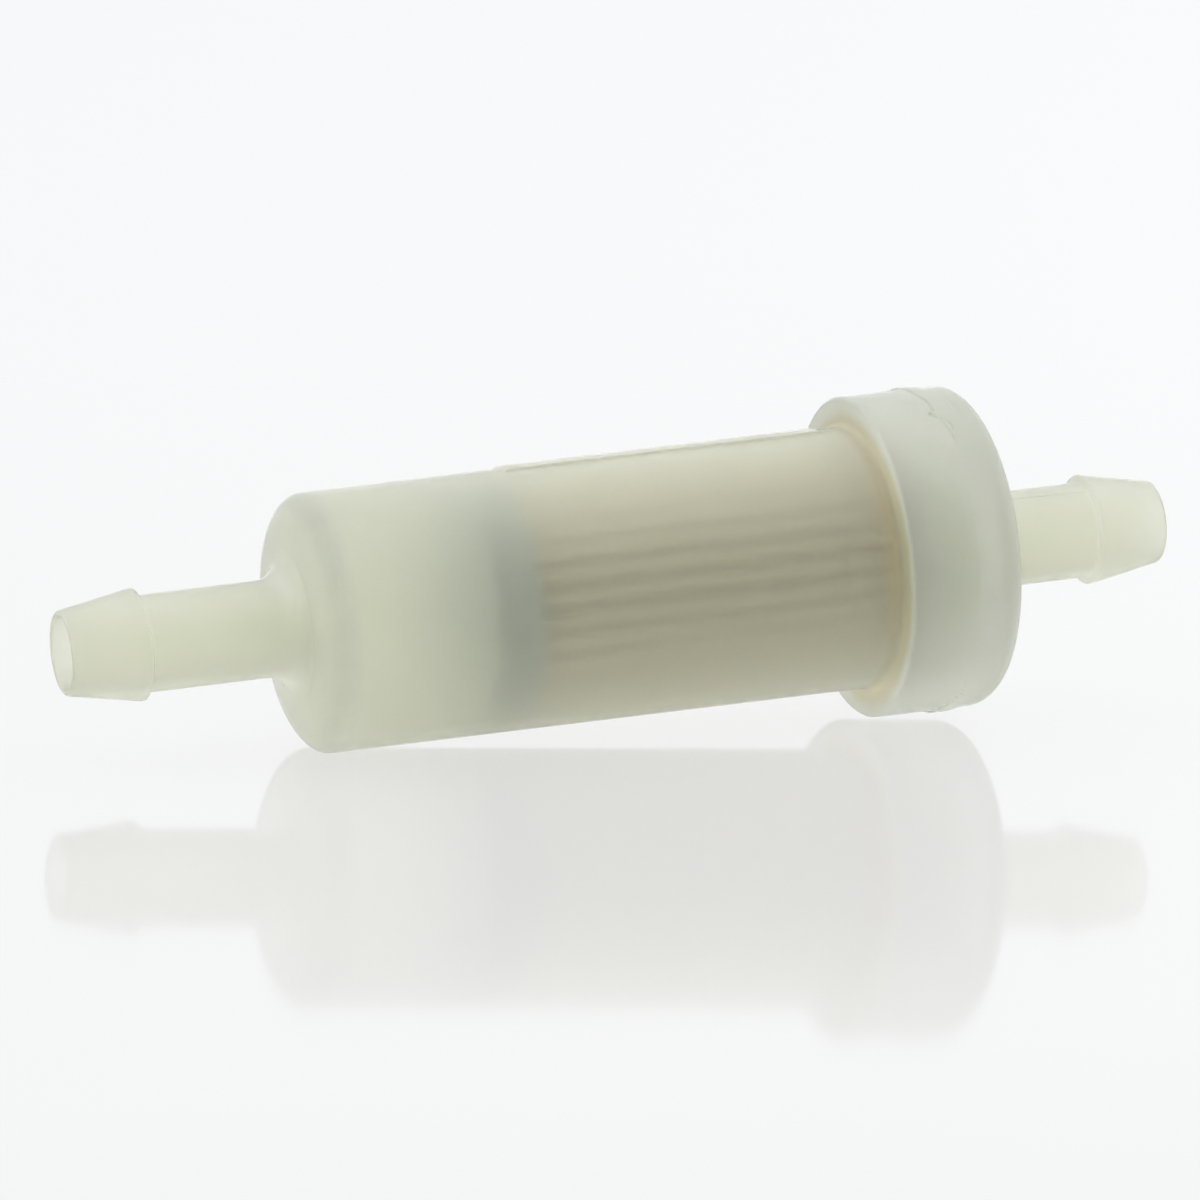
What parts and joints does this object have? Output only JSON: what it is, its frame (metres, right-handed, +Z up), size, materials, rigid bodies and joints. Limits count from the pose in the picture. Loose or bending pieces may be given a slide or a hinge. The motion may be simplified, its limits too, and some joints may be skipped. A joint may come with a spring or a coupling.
{
  "type": "inline fuel filter",
  "caption": "Small in-line fuel filter: a translucent nylon bowl and welded outlet cap with barbed hose nipples, around a pleated paper element.",
  "frame": {"origin": "on the flow axis, at mid-length between the two nipple tips", "axes": "+X along the flow axis from the inlet nipple to the outlet nipple, +Z up with a flat of each faceted round at the bottom"},
  "size_m": [0.096, 0.0272, 0.0272],
  "materials": {
    "natural_nylon": "satin",
    "weld_nylon": "satin",
    "filter_paper": "matte",
    "core_plastic": "satin",
    "slate_plastic": "satin",
    "grey_plastic": "satin",
    "amber_adhesive": "satin",
    "seal_rubber": "matte",
    "tinned_strip": "satin"
  },
  "bodies": {
    "root": {"body_housing": "natural_nylon", "outlet_cap": "natural_nylon", "weld_bead": "weld_nylon", "pleated_media": "filter_paper", "core_tube": "core_plastic", "closed_end_cap": "slate_plastic", "open_end_cap": "grey_plastic", "closed_end_adhesive": "amber_adhesive", "open_end_adhesive": "amber_adhesive", "neck_seal": "seal_rubber", "media_seam_strip": "tinned_strip"}
  },
  "joints": []
}
